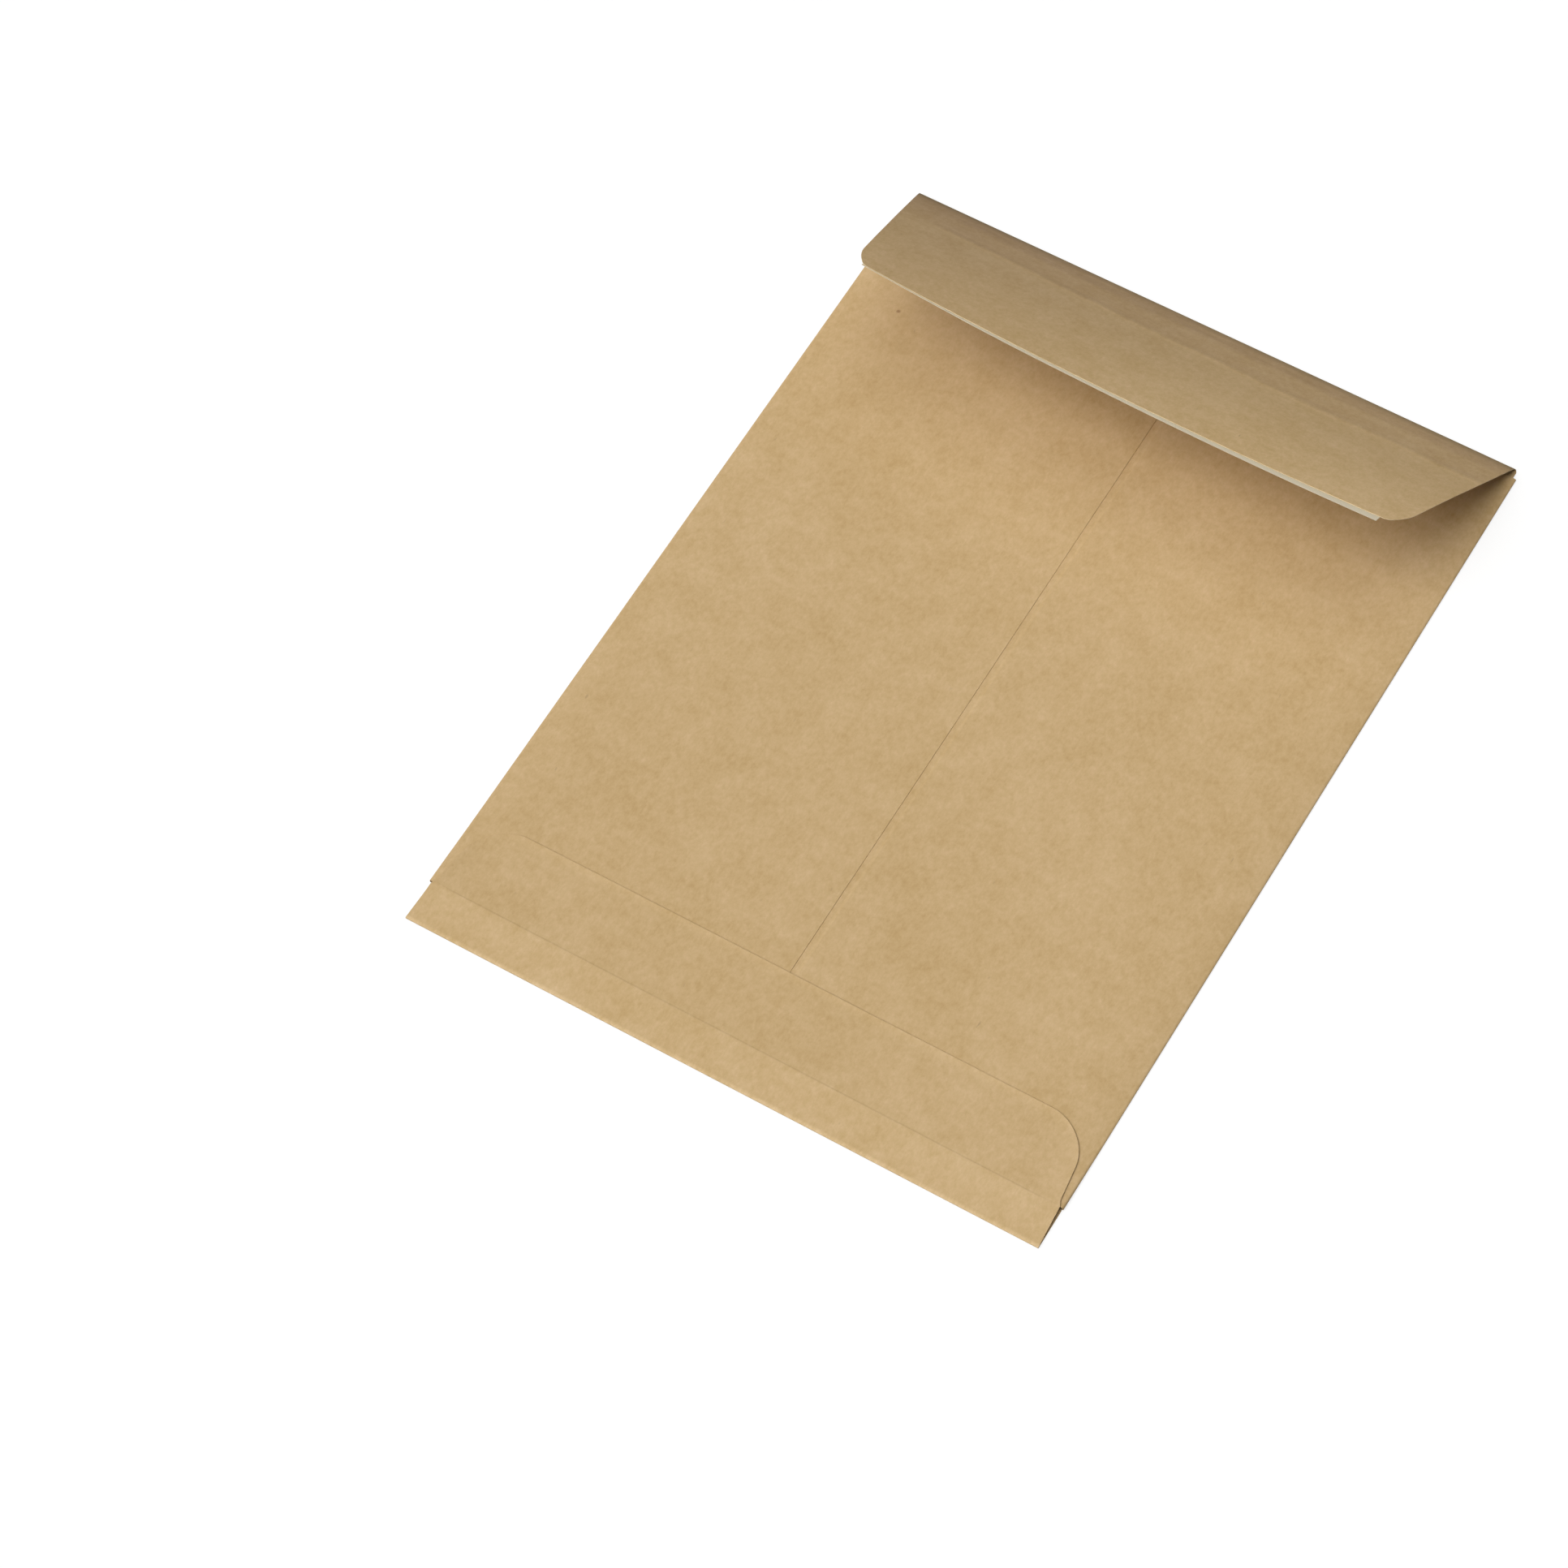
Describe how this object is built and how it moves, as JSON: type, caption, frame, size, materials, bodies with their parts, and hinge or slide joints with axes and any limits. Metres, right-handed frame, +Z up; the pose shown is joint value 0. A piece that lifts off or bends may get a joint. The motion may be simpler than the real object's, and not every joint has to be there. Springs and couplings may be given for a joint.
{
  "type": "paper envelope",
  "caption": "Flat kraft paper pocket envelope for unfolded documents, with side folds, a glued centre seam and bottom flap, and a peel-and-seal closing flap sprung part open.",
  "frame": {"origin": "middle of the front face, on the surface that the envelope lies on", "axes": "+X across the pocket, +Y from the bottom fold to the closing flap's fold, +Z up, out of the back face"},
  "size_m": [0.229, 0.324, 0.0518],
  "materials": {
    "kraft": "uncoated brown kraft paper, machine smooth",
    "dried_glue": "thin dried film",
    "adhesive": "tacky translucent film",
    "liner": "smooth siliconised paper"
  },
  "bodies": {
    "root": {"kraft_sheet": "kraft", "seam_glue": "dried_glue", "bottom_flap_glue": "dried_glue", "flap_adhesive": "adhesive", "release_liner": "liner"}
  },
  "joints": []
}
